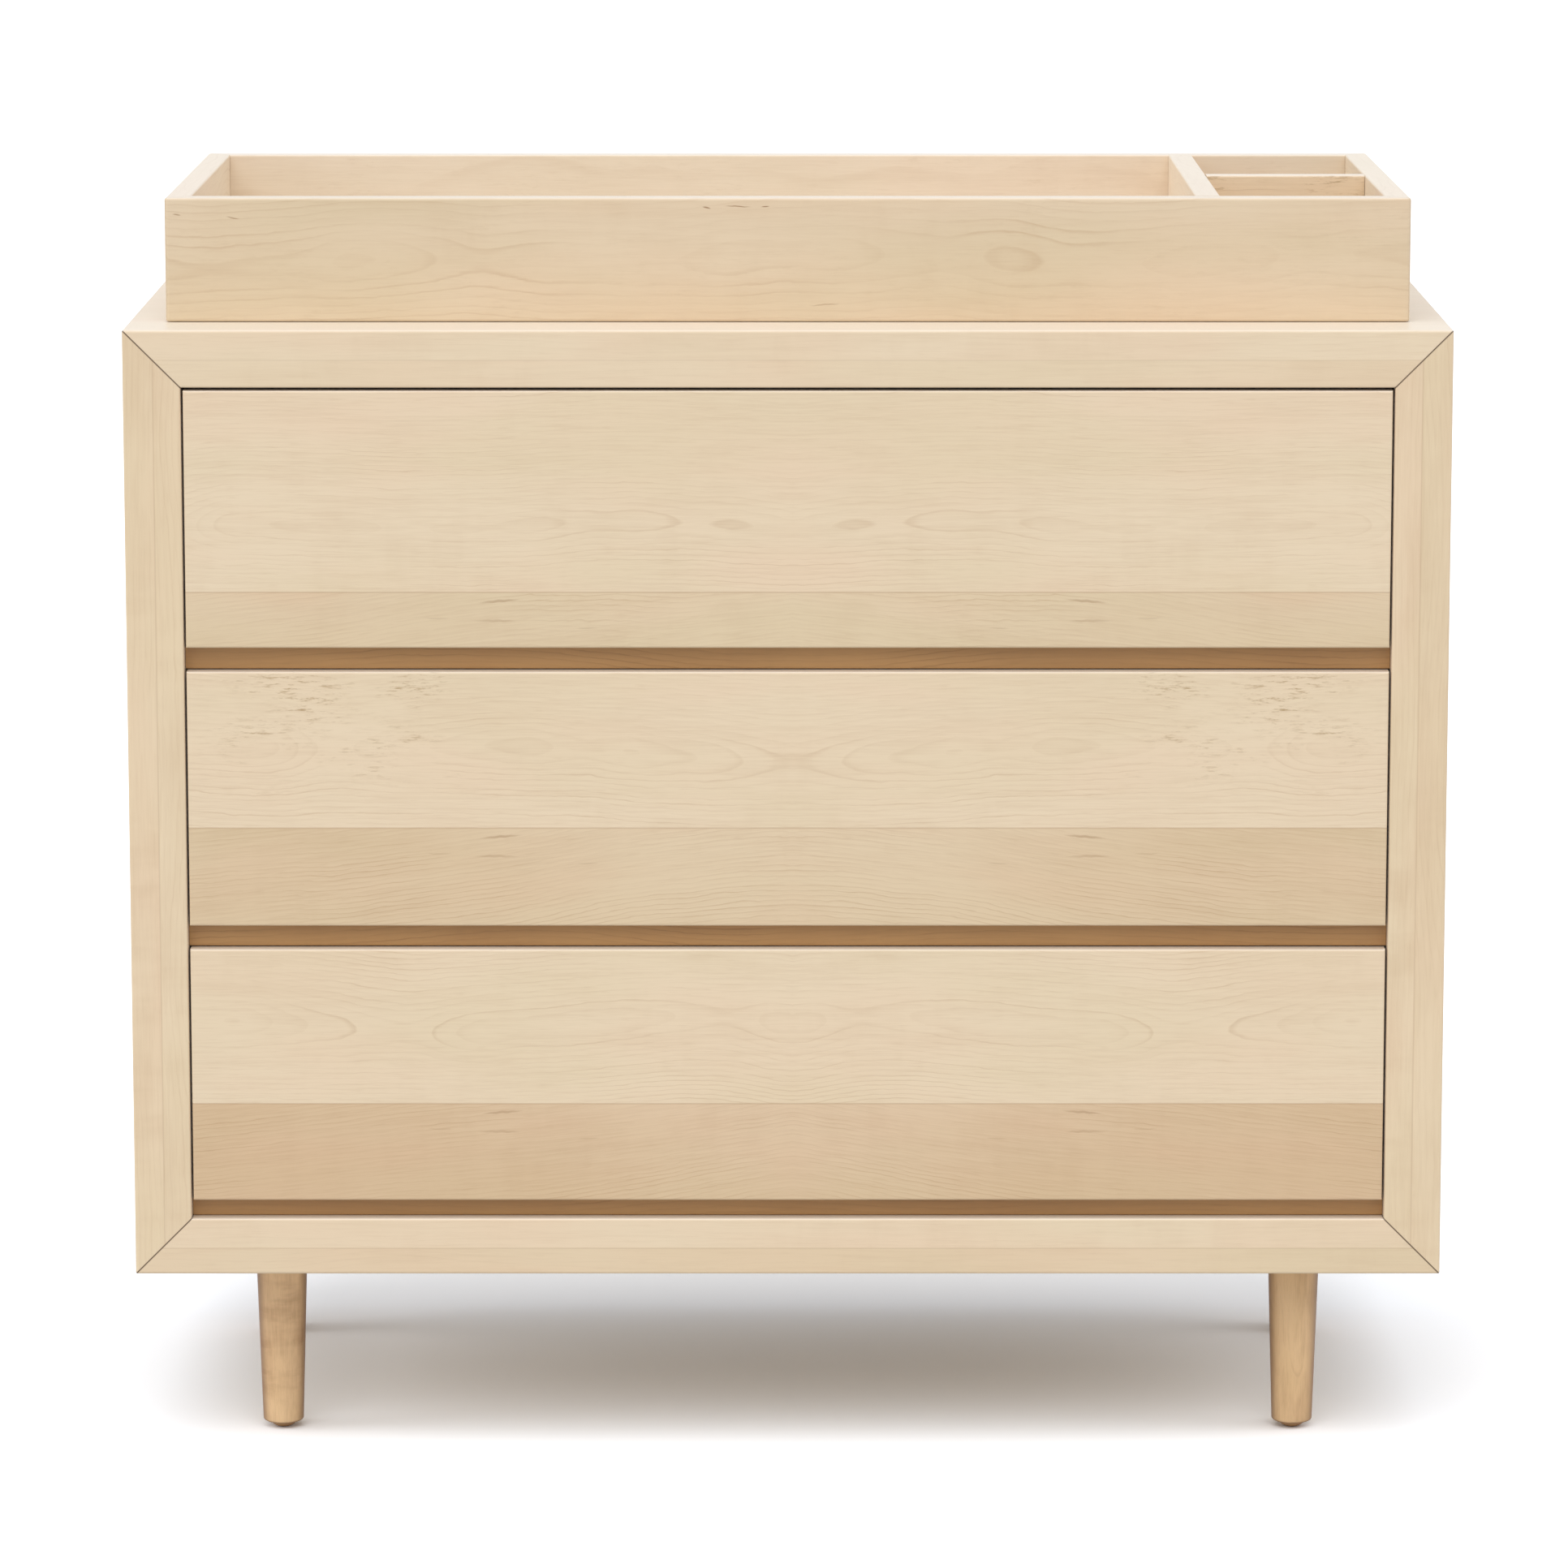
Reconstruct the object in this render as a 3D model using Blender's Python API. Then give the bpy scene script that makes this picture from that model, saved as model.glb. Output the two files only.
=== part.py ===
# Changing table: a three-drawer dresser with mitred corners, on four turned legs, and a
# changing tray that lifts off. Metres, +Z up, the front faces -Y, the floor is z = 0.

import math

import bmesh
import bpy
from mathutils import Matrix, Vector

# Case.
CASE_WIDTH = 1.060
CASE_DEPTH = 0.514
CASE_HEIGHT = 0.770
PANEL = 0.046
LEG_HEIGHT = 0.150
BACK_THICK = 0.006
REBATE_DEPTH = 0.008
REBATE_WIDTH = 0.010

# Legs and their glides.
FRONT_LEG_X = 0.4175
BACK_LEG_X = 0.4410
LEG_INSET = 0.090
LEG_TOP_RADIUS = 0.0211
LEG_FOOT_RADIUS = 0.0167
LEG_ROUND = 0.002
GLIDE_HEIGHT = 0.005
GLIDE_SPHERE = 0.013
GLIDE_FLAT_RADIUS = 0.003

# Drawers.
DRAWER_COUNT = 3
FRONT_HEIGHT = 0.207
FRONT_THICK = 0.020
FRONT_SIDE_GAP = 0.0018
BASE_GAP = 0.0155
FINGER_GAP = 0.0195
PULL_SETBACK = 0.008
PULL_RISE = 0.012
BOX_LENGTH = 0.450
BOX_RAISE = 0.014
BOX_HEIGHT = 0.160
BOX_BACK_DROP = 0.012
SIDE_THICK = 0.012
SIDE_OUTER_X = 0.4707
BOTTOM_THICK = 0.006
GROOVE_RAISE = 0.010
GROOVE_DEPTH = 0.005

# Rails behind the finger gaps.
RAIL_SETBACK = 0.013
RAIL_DEPTH = 0.060
RAIL_TOP_CLEAR = 0.0010
RAIL_FOOT_CLEAR = 0.0008

# Ball-bearing slides: three nested channels on each side of a drawer.
SLIDE_RAISE = 0.085
CASE_CHANNEL = {"inner": 0.4745, "outer": 0.4837, "height": 0.0450, "sheet": 0.0012}
MIDDLE_CHANNEL = {"inner": 0.4735, "outer": 0.4819, "height": 0.0410, "sheet": 0.0010}
DRAWER_CHANNEL = {"inner": 0.4710, "outer": 0.4802, "height": 0.0374, "sheet": 0.0012}
CHANNEL_SETBACK = 0.004
CHANNEL_LENGTH = {"case": 0.450, "middle": 0.440, "drawer": 0.445}

# Changing tray.
TRAY_WIDTH = 1.000
TRAY_DEPTH = 0.452
TRAY_HEIGHT = 0.100
TRAY_WALL = 0.020
TRAY_BASE = 0.006
DIVIDER_LEFT_X = 0.328
DIVIDER_THICK = 0.020
CADDY_CROSS_THICK = 0.018

# Steel plates on the back.
PLATE = 0.0025
PLATE_ROUND = 0.004
TRAY_BRACKET_X = 0.300
TRAY_BRACKET_WIDTH = 0.030
TRAY_BRACKET_REACH = 0.032
ANTI_TIP_WIDTH = 0.070
ANTI_TIP_HEIGHT = 0.024

# Edges and the gap between pieces that touch.
GAP = 0.0003
ARRIS = 0.0020
SOFT_ARRIS = 0.0015
SMALL_ARRIS = 0.0008
TRAY_CORNER = 0.0028
NEAR = 1e-5
ARC_STEPS = 3
GLIDE_STEPS = 5
TURNED_SEGMENTS = 48
GLIDE_SEGMENTS = 32
SHARP_ANGLE = math.radians(40)

# Worked out from the above. The whole depth counts the plates behind the case.
FRONT_Y = -(CASE_DEPTH + GAP + PLATE) / 2
BACK_Y = FRONT_Y + CASE_DEPTH
CASE_TOP = LEG_HEIGHT + CASE_HEIGHT
OPENING_X = CASE_WIDTH / 2 - PANEL
OPENING_FLOOR = LEG_HEIGHT + PANEL
DRAWER_PITCH = FRONT_HEIGHT + FINGER_GAP
TRAY_FOOT = CASE_TOP + GAP
TRAY_TOP = CASE_TOP + TRAY_HEIGHT
TRAY_FRONT_Y = BACK_Y - TRAY_DEPTH
DRAWER_NAMES = ("bottom", "middle", "top")
SIDES = (("left", -1), ("right", 1))

FINISHES = {
    "maple": ((0.76, 0.62, 0.45), 0.50, 0.0),
    "leg_maple": ((0.60, 0.41, 0.22), 0.45, 0.0),
    "drawer_box_birch": ((0.80, 0.68, 0.50), 0.60, 0.0),
    "panel_board": ((0.72, 0.58, 0.41), 0.65, 0.0),
    "zinc_steel": ((0.62, 0.63, 0.65), 0.35, 1.0),
    "glide_plastic": ((0.45, 0.31, 0.18), 0.55, 0.0),
}


def clear_scene():
    for old in list(bpy.data.objects):
        bpy.data.objects.remove(old, do_unlink=True)


def finish_named(name):
    made = bpy.data.materials.get(name)
    if made:
        return made
    colour, roughness, metallic = FINISHES[name]
    made = bpy.data.materials.new(name)
    made.use_nodes = True
    shader = made.node_tree.nodes["Principled BSDF"]
    shader.inputs["Base Color"].default_value = (*colour, 1.0)
    shader.inputs["Roughness"].default_value = roughness
    shader.inputs["Metallic"].default_value = metallic
    return made


def add_body(name, location=(0, 0, 0), parent=None):
    """An empty that stands for one moving body: its pieces are its children."""
    body = bpy.data.objects.new(name, None)
    body.empty_display_size = 0.05
    body.location = location
    body.parent = parent
    bpy.context.scene.collection.objects.link(body)
    return body


def add_piece(name, shape, finish, body, location=(0, 0, 0), turn=0.0):
    """One piece from a bmesh, set at a location under its body and turned about Y."""
    bmesh.ops.recalc_face_normals(shape, faces=shape.faces)
    mesh = bpy.data.meshes.new(name)
    shape.to_mesh(mesh)
    shape.free()
    mesh.materials.append(finish_named(finish))
    piece = bpy.data.objects.new(name, mesh)
    piece.location = location
    piece.rotation_euler = (0, turn, 0)
    piece.parent = body
    bpy.context.scene.collection.objects.link(piece)
    return piece


def corner_points(before, corner, after, radius):
    """The arc that rounds one corner of an outline, or the corner itself."""
    if not radius:
        return [tuple(corner)]
    back = (before - corner).normalized()
    ahead = (after - corner).normalized()
    half = back.angle(ahead) / 2
    centre = corner + (back + ahead).normalized() * radius / math.sin(half)
    start = corner + back * radius / math.tan(half) - centre
    end = corner + ahead * radius / math.tan(half) - centre
    first = math.atan2(start.y, start.x)
    sweep = math.atan2(end.y, end.x) - first
    sweep = (sweep + math.pi) % (2 * math.pi) - math.pi
    angles = [first + sweep * step / ARC_STEPS for step in range(ARC_STEPS + 1)]
    return [(centre.x + radius * math.cos(a), centre.y + radius * math.sin(a)) for a in angles]


def outline(corners):
    """A closed outline from (a, b, radius) corners."""
    places = [Vector(corner[:2]) for corner in corners]
    points = []
    for index, corner in enumerate(corners):
        after = places[(index + 1) % len(places)]
        points += corner_points(places[index - 1], places[index], after, corner[2])
    return points


def rectangle(a_low, a_high, b_low, b_high, radius=0.0):
    return outline(
        [
            (a_low, b_low, radius),
            (a_high, b_low, radius),
            (a_high, b_high, radius),
            (a_low, b_high, radius),
        ]
    )


def along(axis, distance, a, b):
    """A point at a distance along the axis, where (a, b) are its other two coordinates in order."""
    if axis == "X":
        return (distance, a, b)
    if axis == "Y":
        return (a, distance, b)
    return (a, b, distance)


def bar(points, axis, start, end):
    """A closed bar: the outline, run along the axis from start to end."""
    shape = bmesh.new()
    ring = [shape.verts.new(along(axis, start, a, b)) for a, b in points]
    face = shape.faces.new(ring)
    run = bmesh.ops.extrude_face_region(shape, geom=[face])
    moved = [part for part in run["geom"] if isinstance(part, bmesh.types.BMVert)]
    bmesh.ops.translate(shape, verts=moved, vec=along(axis, end - start, 0, 0))
    return shape


def trim(shape, point, normal):
    """Cuts off what lies beyond a plane, and closes the cut."""
    everything = shape.verts[:] + shape.edges[:] + shape.faces[:]
    cut = bmesh.ops.bisect_plane(
        shape, geom=everything, plane_co=point, plane_no=normal, clear_outer=True
    )
    rim = [part for part in cut["geom_cut"] if isinstance(part, bmesh.types.BMEdge)]
    bmesh.ops.contextual_create(shape, geom=rim)


def level(one, other):
    return abs(one.z - other.z) < NEAR


def on_top(one, other):
    return min(one.z, other.z) > TRAY_TOP - NEAR


def soften(shape, wanted, width):
    """Rounds the edges whose two ends pass a test."""
    edges = [edge for edge in shape.edges if wanted(edge.verts[0].co, edge.verts[1].co)]
    bmesh.ops.bevel(
        shape, geom=edges, offset=width, segments=3, profile=0.5, affect="EDGES", material=-1
    )


def turned(points, segments):
    """A solid turned about Z from (radius, height) points that start and end on the axis."""
    shape = bmesh.new()
    line = [shape.verts.new((radius, 0, height)) for radius, height in points]
    edges = [shape.edges.new(pair) for pair in zip(line, line[1:])]
    bmesh.ops.spin(
        shape,
        geom=line + edges,
        cent=(0, 0, 0),
        axis=(0, 0, 1),
        angle=2 * math.pi,
        steps=segments,
        use_merge=True,
    )
    bmesh.ops.remove_doubles(shape, verts=shape.verts, dist=1e-6)
    return shape


def case_panel(name, length, location, turn, body):
    """One board of the case, modelled as the top board: its outer face is at local z = 0."""
    section = outline(
        [
            (FRONT_Y, 0, ARRIS),
            (FRONT_Y, -PANEL, SOFT_ARRIS),
            (BACK_Y - REBATE_DEPTH, -PANEL, 0),
            (BACK_Y - REBATE_DEPTH, REBATE_WIDTH - PANEL, 0),
            (BACK_Y, REBATE_WIDTH - PANEL, SMALL_ARRIS),
            (BACK_Y, 0, SOFT_ARRIS),
        ]
    )
    shape = bar(section, "X", -length / 2, length / 2)
    mitre_x = length / 2 - GAP / math.sqrt(2)
    for side in (-1, 1):
        trim(shape, (side * mitre_x, 0, 0), (side, 0, -1))
        trim(shape, (side * (mitre_x - SMALL_ARRIS), 0, 0), (side, 0, 1))
    add_piece(name, shape, "maple", body, location, turn)


def add_case_panels(case):
    middle = LEG_HEIGHT + CASE_HEIGHT / 2
    edge = CASE_WIDTH / 2
    case_panel("top_panel", CASE_WIDTH, (0, 0, CASE_TOP), 0, case)
    case_panel("bottom_panel", CASE_WIDTH, (0, 0, LEG_HEIGHT), math.pi, case)
    case_panel("left_side_panel", CASE_HEIGHT, (-edge, 0, middle), -math.pi / 2, case)
    case_panel("right_side_panel", CASE_HEIGHT, (edge, 0, middle), math.pi / 2, case)


def add_back_panel(case):
    reach = REBATE_WIDTH - GAP
    start = BACK_Y - REBATE_DEPTH + GAP
    board = rectangle(
        -OPENING_X - reach, OPENING_X + reach, OPENING_FLOOR - reach, CASE_TOP - PANEL + reach
    )
    add_piece("back_panel", bar(board, "Y", start, start + BACK_THICK), "panel_board", case)


def add_rail(name, floor, ceiling, case):
    start = FRONT_Y + RAIL_SETBACK
    section = outline(
        [
            (start, floor, SMALL_ARRIS),
            (start, ceiling, SMALL_ARRIS),
            (start + RAIL_DEPTH, ceiling, 0),
            (start + RAIL_DEPTH, floor, 0),
        ]
    )
    half = OPENING_X - GAP
    add_piece(name, bar(section, "X", -half, half), "maple", case)


def add_rails(case):
    """The rails lie in the gaps between drawer fronts, set back behind their faces."""
    add_rail("base_rail", OPENING_FLOOR + GAP, front_floor(0) - RAIL_TOP_CLEAR, case)
    for name, index in (("lower_divider_rail", 1), ("upper_divider_rail", 2)):
        floor = front_floor(index) - FINGER_GAP + RAIL_FOOT_CLEAR
        add_rail(name, floor, front_floor(index) - RAIL_TOP_CLEAR, case)


def leg_points():
    foot = GLIDE_HEIGHT + GAP
    top = LEG_HEIGHT - GAP
    return outline(
        [(0, foot, 0), (LEG_FOOT_RADIUS, foot, LEG_ROUND), (LEG_TOP_RADIUS, top, 0), (0, top, 0)]
    )


def glide_points():
    """A shallow dome, flat where it meets the floor."""
    drop = GLIDE_SPHERE - math.sqrt(GLIDE_SPHERE**2 - GLIDE_FLAT_RADIUS**2)
    points = [(0, 0)]
    for step in range(GLIDE_STEPS + 1):
        height = GLIDE_HEIGHT * step / GLIDE_STEPS
        below_centre = GLIDE_SPHERE - drop - height
        points.append((math.sqrt(GLIDE_SPHERE**2 - below_centre**2), height))
    return [*points, (0, GLIDE_HEIGHT)]


def add_legs(case):
    rows = (
        ("front", FRONT_LEG_X, FRONT_Y + LEG_INSET),
        ("back", BACK_LEG_X, BACK_Y - LEG_INSET),
    )
    for row, x, y in rows:
        for side, sign in SIDES:
            place = (sign * x, y, 0)
            leg = turned(leg_points(), TURNED_SEGMENTS)
            glide = turned(glide_points(), GLIDE_SEGMENTS)
            for piece in (
                add_piece(f"{row}_{side}_leg", leg, "leg_maple", case, place),
                add_piece(f"{row}_{side}_leg_glide", glide, "glide_plastic", case, place),
            ):
                piece.data.shade_smooth()
                piece.data.set_sharp_from_angle(angle=SHARP_ANGLE)


def channel(sign, sizes, opens_inwards):
    """The outline of one slide channel in x and z: a web with two flanges."""
    inner, outer, half = sizes["inner"], sizes["outer"], sizes["height"] / 2
    sheet = sizes["sheet"]
    if opens_inwards:
        web, tip, step = outer, inner, -sheet
    else:
        web, tip, step = inner, outer, sheet
    across = [
        (web, -half),
        (tip, -half),
        (tip, -half + sheet),
        (web + step, -half + sheet),
        (web + step, half - sheet),
        (tip, half - sheet),
        (tip, half),
        (web, half),
    ]
    return [(sign * x, z) for x, z in across]


def add_channels(kind, sizes, label, body, opens_inwards):
    """The two channels of one kind beside one drawer, in the drawer's own coordinates."""
    start = FRONT_THICK + CHANNEL_SETBACK
    for side, sign in SIDES:
        points = [(x, z + SLIDE_RAISE) for x, z in channel(sign, sizes, opens_inwards)]
        shape = bar(points, "Y", start, start + CHANNEL_LENGTH[kind])
        add_piece(f"{label}_{side}_{kind}_channel", shape, "zinc_steel", body)


def add_drawer_front(label, drawer):
    half = OPENING_X - FRONT_SIDE_GAP
    section = [
        (0, 0),
        (0, FRONT_HEIGHT),
        (FRONT_THICK, FRONT_HEIGHT),
        (FRONT_THICK, PULL_RISE),
        (PULL_SETBACK, 0),
    ]
    shape = bar(section, "X", -half, half)
    soften(shape, lambda a, b: max(a.y, b.y) < NEAR, SOFT_ARRIS)
    add_piece(f"{label}_drawer_front", shape, "maple", drawer)


def add_drawer_sides(label, drawer):
    floor = BOX_RAISE
    groove = floor + GROOVE_RAISE
    inner = SIDE_OUTER_X - SIDE_THICK
    start = FRONT_THICK + GAP
    for side, sign in SIDES:
        section = outline(
            [
                (sign * SIDE_OUTER_X, floor, SMALL_ARRIS),
                (sign * SIDE_OUTER_X, floor + BOX_HEIGHT, SOFT_ARRIS),
                (sign * inner, floor + BOX_HEIGHT, SOFT_ARRIS),
                (sign * inner, groove + BOTTOM_THICK + 2 * GAP, 0),
                (sign * (inner + GROOVE_DEPTH), groove + BOTTOM_THICK + 2 * GAP, 0),
                (sign * (inner + GROOVE_DEPTH), groove, 0),
                (sign * inner, groove, 0),
                (sign * inner, floor, SMALL_ARRIS),
            ]
        )
        shape = bar(section, "Y", start, FRONT_THICK + BOX_LENGTH)
        add_piece(f"{label}_drawer_{side}_side", shape, "drawer_box_birch", drawer)


def add_drawer_back_and_bottom(label, drawer):
    inner = SIDE_OUTER_X - SIDE_THICK
    floor = BOX_RAISE + GROOVE_RAISE + GAP
    end = FRONT_THICK + BOX_LENGTH
    reach = inner + GROOVE_DEPTH - GAP
    board = rectangle(-reach, reach, FRONT_THICK + GAP, end)
    shape = bar(board, "Z", floor, floor + BOTTOM_THICK)
    add_piece(f"{label}_drawer_bottom", shape, "panel_board", drawer)
    rest = floor + BOTTOM_THICK + GAP
    top = BOX_RAISE + BOX_HEIGHT - BOX_BACK_DROP
    section = outline(
        [
            (end - SIDE_THICK, rest, 0),
            (end - SIDE_THICK, top, SOFT_ARRIS),
            (end, top, SOFT_ARRIS),
            (end, rest, 0),
        ]
    )
    shape = bar(section, "X", -inner + GAP, inner - GAP)
    add_piece(f"{label}_drawer_back", shape, "drawer_box_birch", drawer)


def front_floor(index):
    """The height of the lower edge of a drawer front, counted from the lowest drawer."""
    return OPENING_FLOOR + BASE_GAP + index * DRAWER_PITCH


def add_drawers(case):
    """Each drawer's coordinates start at the middle of the lower edge of its front face."""
    for index in range(DRAWER_COUNT):
        label = DRAWER_NAMES[index]
        place = (0, FRONT_Y, front_floor(index))
        fixed = add_body(f"{label}_fixed_slides", place, case)
        runner = add_body(f"{label}_runner", place, case)
        drawer = add_body(f"{label}_drawer", place, case)
        add_channels("case", CASE_CHANNEL, label, fixed, True)
        add_channels("middle", MIDDLE_CHANNEL, label, runner, True)
        add_channels("drawer", DRAWER_CHANNEL, label, drawer, False)
        add_drawer_front(label, drawer)
        add_drawer_sides(label, drawer)
        add_drawer_back_and_bottom(label, drawer)


def tray_wall(name, length, location, quarter_turn, tray):
    """One outer wall, modelled as the back wall: its outer face is at local y = 0."""
    half = length / 2
    plan = outline(
        [
            (-half, 0, TRAY_CORNER),
            (half, 0, TRAY_CORNER),
            (half, -TRAY_WALL, 0),
            (-half, -TRAY_WALL, 0),
        ]
    )
    shape = bar(plan, "Z", TRAY_FOOT, TRAY_TOP)
    for side in (-1, 1):
        trim(shape, (side * (half - GAP / math.sqrt(2)), 0, 0), (side, -1, 0))
    soften(shape, lambda a, b: level(a, b) and min(a.y, b.y) > -TRAY_WALL / 2, ARRIS)
    soften(shape, lambda a, b: on_top(a, b) and max(a.y, b.y) < NEAR - TRAY_WALL, SOFT_ARRIS)
    bmesh.ops.rotate(
        shape, verts=shape.verts, matrix=Matrix.Rotation(quarter_turn * math.pi / 2, 3, "Z")
    )
    add_piece(name, shape, "maple", tray, location)


def add_tray_walls(tray):
    middle = (TRAY_FRONT_Y + BACK_Y) / 2
    edge = TRAY_WIDTH / 2
    tray_wall("tray_back_wall", TRAY_WIDTH, (0, BACK_Y, 0), 0, tray)
    tray_wall("tray_left_wall", TRAY_DEPTH, (-edge, middle, 0), 1, tray)
    tray_wall("tray_front_wall", TRAY_WIDTH, (0, TRAY_FRONT_Y, 0), 2, tray)
    tray_wall("tray_right_wall", TRAY_DEPTH, (edge, middle, 0), 3, tray)


def divider_section(low, thick):
    return outline(
        [
            (low, TRAY_FOOT, 0),
            (low + thick, TRAY_FOOT, 0),
            (low + thick, TRAY_TOP, SOFT_ARRIS),
            (low, TRAY_TOP, SOFT_ARRIS),
        ]
    )


def add_tray_inside(tray):
    front = TRAY_FRONT_Y + TRAY_WALL + GAP
    back = BACK_Y - TRAY_WALL - GAP
    left = -TRAY_WIDTH / 2 + TRAY_WALL + GAP
    right = TRAY_WIDTH / 2 - TRAY_WALL - GAP
    caddy_left = DIVIDER_LEFT_X + DIVIDER_THICK + GAP
    floor = TRAY_FOOT
    divider = bar(divider_section(DIVIDER_LEFT_X, DIVIDER_THICK), "Y", front, back)
    add_piece("tray_divider", divider, "maple", tray)
    cross_y = (front + back - CADDY_CROSS_THICK) / 2
    cross = bar(divider_section(cross_y, CADDY_CROSS_THICK), "X", caddy_left, right)
    trim(cross, (0, 0, floor + TRAY_BASE + GAP), (0, 0, -1))
    add_piece("caddy_cross_divider", cross, "maple", tray)
    for name, low, high in (
        ("tray_pad_base", left, DIVIDER_LEFT_X - GAP),
        ("tray_caddy_base", caddy_left, right),
    ):
        board = bar(rectangle(low, high, front, back), "Z", floor, floor + TRAY_BASE)
        add_piece(name, board, "panel_board", tray)


def plate(name, x, z_low, z_high, width, body):
    """A flat steel plate against the back edge of the case."""
    start = BACK_Y + GAP
    section = rectangle(x - width / 2, x + width / 2, z_low, z_high, PLATE_ROUND)
    add_piece(name, bar(section, "Y", start, start + PLATE), "zinc_steel", body)


def add_plates(case, tray):
    for side, sign in SIDES:
        plate(
            f"{side}_tray_bracket",
            sign * TRAY_BRACKET_X,
            CASE_TOP - TRAY_BRACKET_REACH,
            CASE_TOP + TRAY_BRACKET_REACH,
            TRAY_BRACKET_WIDTH,
            tray,
        )
    middle = CASE_TOP - PANEL / 2
    half = ANTI_TIP_HEIGHT / 2
    plate("anti_tip_bracket", 0, middle - half, middle + half, ANTI_TIP_WIDTH, case)


def main():
    clear_scene()
    case = add_body("case")
    tray = add_body("tray", (0, 0, 0), case)
    add_case_panels(case)
    add_back_panel(case)
    add_rails(case)
    add_legs(case)
    add_drawers(case)
    add_tray_walls(tray)
    add_tray_inside(tray)
    add_plates(case, tray)


main()
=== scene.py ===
import math

import bmesh
import bpy
from mathutils import Matrix, Vector


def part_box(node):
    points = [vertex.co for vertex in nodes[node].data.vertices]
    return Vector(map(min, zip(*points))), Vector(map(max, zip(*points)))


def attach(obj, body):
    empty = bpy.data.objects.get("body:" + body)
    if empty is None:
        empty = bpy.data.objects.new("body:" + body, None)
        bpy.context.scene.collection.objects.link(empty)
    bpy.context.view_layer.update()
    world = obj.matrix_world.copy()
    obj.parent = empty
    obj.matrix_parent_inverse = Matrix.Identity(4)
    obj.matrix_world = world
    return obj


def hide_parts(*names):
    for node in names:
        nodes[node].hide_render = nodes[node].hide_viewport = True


# Changing table: a mitred maple dresser with three inset drawers on turned legs,
# and a changing tray with a caddy that lifts off. Metres, the front faces -Y.

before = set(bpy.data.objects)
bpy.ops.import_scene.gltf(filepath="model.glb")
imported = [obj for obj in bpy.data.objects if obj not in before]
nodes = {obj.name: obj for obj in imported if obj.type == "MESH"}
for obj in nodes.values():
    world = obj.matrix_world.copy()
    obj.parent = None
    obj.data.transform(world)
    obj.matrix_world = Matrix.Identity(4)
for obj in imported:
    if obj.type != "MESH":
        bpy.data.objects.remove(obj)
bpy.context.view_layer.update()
scene = bpy.context.scene
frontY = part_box("left_side_panel")[0].y
caseFloor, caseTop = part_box("bottom_panel")[0].z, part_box("top_panel")[1].z
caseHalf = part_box("right_side_panel")[1].x
print("frame:", len(nodes), "nodes")


# camera
camera = {"place": (-0.003, -5.968, 1.514), "tilt": 9.544, "lens": 165.38, "sensor": 36.0}


def setCamera():
    data = bpy.data.cameras.new("camera")
    data.lens = camera["lens"]
    data.sensor_width = camera["sensor"]
    data.clip_end = 200
    seat = bpy.data.objects.new("camera", data)
    seat.location = camera["place"]
    seat.rotation_euler = (math.radians(90 - camera["tilt"]), 0, 0)
    scene.collection.objects.link(seat)
    scene.camera = seat


setCamera()
print("camera set")


# node helpers
def colour(red, green, blue):
    # screen values 0-255 to the linear colour that shaders use
    parts = [c / 255 for c in (red, green, blue)]
    return tuple(c / 12.92 if c < 0.04 else ((c + 0.055) / 1.055) ** 2.4 for c in parts) + (1.0,)


def feed(tree, socket, value):
    if isinstance(value, bpy.types.NodeSocket):
        tree.links.new(value, socket)
    else:
        socket.default_value = value


def put(tree, kind, feeds=None, **settings):
    node = tree.nodes.new(kind)
    for key, value in settings.items():
        setattr(node, key, value)
    for key, value in (feeds or {}).items():
        feed(tree, node.inputs[key], value)
    return node


def calc(tree, operation, *values, clamp=False):
    node = put(tree, "ShaderNodeMath", operation=operation, use_clamp=clamp)
    for socket, value in zip(node.inputs, values):
        feed(tree, socket, value)
    return node.outputs[0]


def spread(tree, value, low, high, toLow=0.0, toHigh=1.0, smooth=True):
    kind = "SMOOTHSTEP" if smooth else "LINEAR"
    feeds = {"Value": value, "From Min": low, "From Max": high, "To Min": toLow, "To Max": toHigh}
    return put(tree, "ShaderNodeMapRange", feeds, interpolation_type=kind).outputs["Result"]


def blend(tree, amount, first, second, how="MIX"):
    node = put(tree, "ShaderNodeMix", data_type="RGBA", blend_type=how)
    for index, value in ((0, amount), (6, first), (7, second)):
        feed(tree, node.inputs[index], value)
    return node.outputs[2]


def stretched(tree, vector, along, across, depth=None):
    factors = (along, across, across if depth is None else depth)
    return put(tree, "ShaderNodeVectorMath", {0: vector, 1: factors}, operation="MULTIPLY").outputs[0]


def noise(tree, vector, scale=1.0, detail=2.0, roughness=0.5):
    feeds = {"Vector": vector, "Scale": scale, "Detail": detail, "Roughness": roughness}
    return put(tree, "ShaderNodeTexNoise", feeds).outputs[0]


def joined(tree, x, y, z):
    return put(tree, "ShaderNodeCombineXYZ", {"X": x, "Y": y, "Z": z}).outputs[0]


def newGroup(name, inputs, outputs):
    tree = bpy.data.node_groups.new(name, "ShaderNodeTree")
    for label, value in inputs.items():
        kind = {tuple: "NodeSocketColor", type(None): "NodeSocketVector"}.get(type(value), "NodeSocketFloat")
        socket = tree.interface.new_socket(label, in_out="INPUT", socket_type=kind)
        if value is not None:
            socket.default_value = value
    for label, kind in outputs.items():
        tree.interface.new_socket(label, in_out="OUTPUT", socket_type=kind)
    return tree, tree.nodes.new("NodeGroupInput").outputs, tree.nodes.new("NodeGroupOutput").inputs


def newMaterial(name):
    material = bpy.data.materials.new(name)
    material.use_nodes = True
    return material, material.node_tree, material.node_tree.nodes["Principled BSDF"]


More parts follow.
